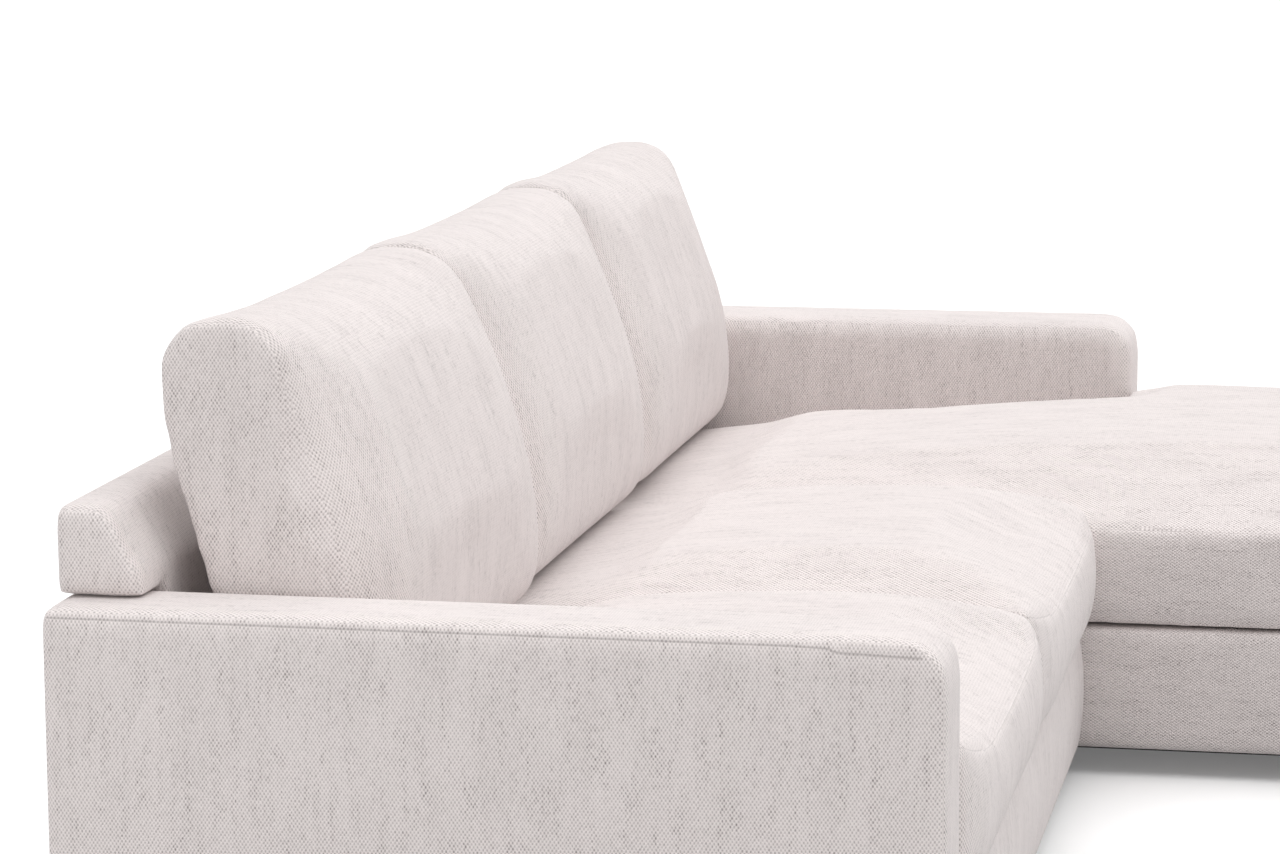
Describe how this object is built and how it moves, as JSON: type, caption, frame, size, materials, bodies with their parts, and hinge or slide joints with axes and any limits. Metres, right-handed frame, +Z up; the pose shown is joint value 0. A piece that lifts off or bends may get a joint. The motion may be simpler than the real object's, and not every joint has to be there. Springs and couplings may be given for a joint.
{
  "type": "sectional sofa",
  "caption": "Low upholstered corner sofa in two joined sections, with box arms, loose seat and back cushions and a chaise that runs forward past the arm.",
  "frame": {"origin": "middle of the bounding box in plan, on the floor", "axes": "+X along the back from the near arm to the chaise side, -Y the way the sitter faces, +Z up"},
  "size_m": [2.63, 1.662, 0.8704],
  "materials": {
    "upholstery": "chunky flecked weave, off-white",
    "foam": "open-cell foam",
    "filling": "fibre filling",
    "wadding": "felt pad",
    "dust_cloth": "black non-woven cloth",
    "timber": "planed softwood",
    "board": "plywood",
    "spring_wire": "drawn wire",
    "plate_steel": "zinc plated",
    "foot_plastic": "matte black"
  },
  "bodies": {
    "frame": {"near_arm_cover": "upholstery", "near_arm_outer_panel": "board", "near_arm_inner_panel": "board", "near_arm_front_post": "timber", "near_arm_rear_post": "timber", "near_arm_top_rail": "timber", "far_arm_cover": "upholstery", "far_arm_outer_panel": "board", "far_arm_inner_panel": "board", "far_arm_front_post": "timber", "far_arm_rear_post": "timber", "far_arm_top_rail": "timber", "seat_back_cover": "upholstery", "seat_back_near_post": "timber", "seat_back_centre_post": "timber", "seat_back_far_post": "timber", "seat_back_top_rail": "timber", "seat_back_panel": "board", "chaise_back_cover": "upholstery", "chaise_back_inner_post": "timber", "chaise_back_outer_post": "timber", "chaise_back_top_rail": "timber", "chaise_back_panel": "board", "seat_base_cover": "upholstery", "seat_base_front_rail": "timber", "seat_base_rear_rail": "timber", "seat_base_near_rail": "timber", "seat_base_far_rail": "timber", "seat_base_centre_beam": "timber", "chaise_base_cover": "upholstery", "chaise_base_front_rail": "timber", "chaise_base_rear_rail": "timber", "chaise_base_inner_rail": "timber", "chaise_base_outer_rail": "timber", "chaise_base_arm_rail": "timber", "chaise_base_cross_beam": "timber", "seat_springs": "spring_wire", "seat_deck_pad": "wadding", "seat_dust_cover": "dust_cloth", "seat_feet": "foot_plastic", "chaise_springs": "spring_wire", "chaise_deck_pad": "wadding", "chaise_dust_cover": "dust_cloth", "chaise_feet": "foot_plastic", "front_joining_plate": "plate_steel", "rear_joining_plate": "plate_steel"},
    "near_seat_cushion": {"near_seat_cushion_cover": "upholstery", "near_seat_cushion_core": "foam"},
    "middle_seat_cushion": {"middle_seat_cushion_cover": "upholstery", "middle_seat_cushion_core": "foam"},
    "chaise_cushion": {"chaise_cushion_cover": "upholstery", "chaise_cushion_core": "foam"},
    "near_back_cushion": {"near_back_cushion_cover": "upholstery", "near_back_cushion_core": "filling"},
    "middle_back_cushion": {"middle_back_cushion_cover": "upholstery", "middle_back_cushion_core": "filling"},
    "far_back_cushion": {"far_back_cushion_cover": "upholstery", "far_back_cushion_core": "filling"}
  },
  "joints": [
    {"name": "near_seat_cushion_pull", "type": "slide", "parent": "frame", "child": "near_seat_cushion", "axis": [0, -1, 0], "range_m": [0, 0.45]},
    {"name": "middle_seat_cushion_pull", "type": "slide", "parent": "frame", "child": "middle_seat_cushion", "axis": [0, -1, 0], "range_m": [0, 0.45]},
    {"name": "chaise_cushion_pull", "type": "slide", "parent": "frame", "child": "chaise_cushion", "axis": [0, -1, 0], "range_m": [0, 0.45]},
    {"name": "near_back_cushion_lift", "type": "slide", "parent": "frame", "child": "near_back_cushion", "axis": [0, 0, 1], "range_m": [0, 0.45]},
    {"name": "middle_back_cushion_lift", "type": "slide", "parent": "frame", "child": "middle_back_cushion", "axis": [0, 0, 1], "range_m": [0, 0.45]},
    {"name": "far_back_cushion_lift", "type": "slide", "parent": "frame", "child": "far_back_cushion", "axis": [0, 0, 1], "range_m": [0, 0.45]}
  ]
}
